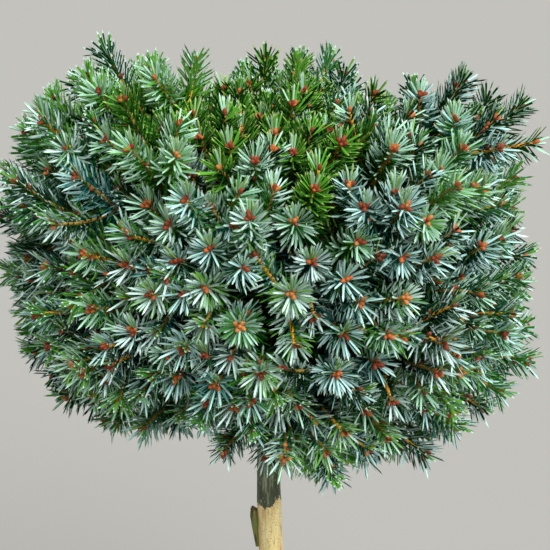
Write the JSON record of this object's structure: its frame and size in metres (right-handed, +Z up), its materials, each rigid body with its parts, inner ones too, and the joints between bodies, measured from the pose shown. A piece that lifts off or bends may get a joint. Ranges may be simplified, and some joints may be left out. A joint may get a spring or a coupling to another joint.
{
  "type": "potted serbian spruce standard",
  "caption": "Dwarf spruce grafted as a standard: a flattened round head of short blue-green needled shoots on a clear stem, in a plain clay pot.",
  "frame": {"origin": "centre of the pot's flat underside", "axes": "+Z up along the stem; the pictured side of the head faces -Y"},
  "size_m": [0.3542, 0.3445, 0.7959],
  "materials": {
    "needles": "needles with a silver-blue inner face and a green outer face, in short shoots",
    "bough_bark": "orange-brown young bark, rough with leaf cushions",
    "stem_bark": "pale flaking bark up to the graft union, dark grey-green above it",
    "clay": "matt fired clay",
    "potting_soil": "dark bark compost"
  },
  "bodies": {
    "root": {"pot": "clay", "soil": "potting_soil", "trunk": "stem_bark", "graft_tongue": "stem_bark", "bough_skirt_1": "bough_bark", "bough_skirt_2": "bough_bark", "bough_skirt_3": "bough_bark", "bough_skirt_4": "bough_bark", "bough_skirt_5": "bough_bark", "bough_skirt_6": "bough_bark", "bough_skirt_7": "bough_bark", "bough_skirt_8": "bough_bark", "bough_middle_1": "bough_bark", "bough_middle_2": "bough_bark", "bough_middle_3": "bough_bark", "bough_middle_4": "bough_bark", "bough_middle_5": "bough_bark", "bough_middle_6": "bough_bark", "bough_middle_7": "bough_bark", "bough_middle_8": "bough_bark", "bough_upper_1": "bough_bark", "bough_upper_2": "bough_bark", "bough_upper_3": "bough_bark", "bough_upper_4": "bough_bark", "bough_upper_5": "bough_bark", "bough_upper_6": "bough_bark", "foliage_skirt_1": "needles", "foliage_skirt_2": "needles", "foliage_skirt_3": "needles", "foliage_skirt_4": "needles", "foliage_skirt_5": "needles", "foliage_skirt_6": "needles", "foliage_skirt_7": "needles", "foliage_skirt_8": "needles", "foliage_middle_1": "needles", "foliage_middle_2": "needles", "foliage_middle_3": "needles", "foliage_middle_4": "needles", "foliage_middle_5": "needles", "foliage_middle_6": "needles", "foliage_middle_7": "needles", "foliage_middle_8": "needles", "foliage_upper_1": "needles", "foliage_upper_2": "needles", "foliage_upper_3": "needles", "foliage_upper_4": "needles", "foliage_upper_5": "needles", "foliage_upper_6": "needles", "foliage_leader": "needles"}
  },
  "joints": []
}
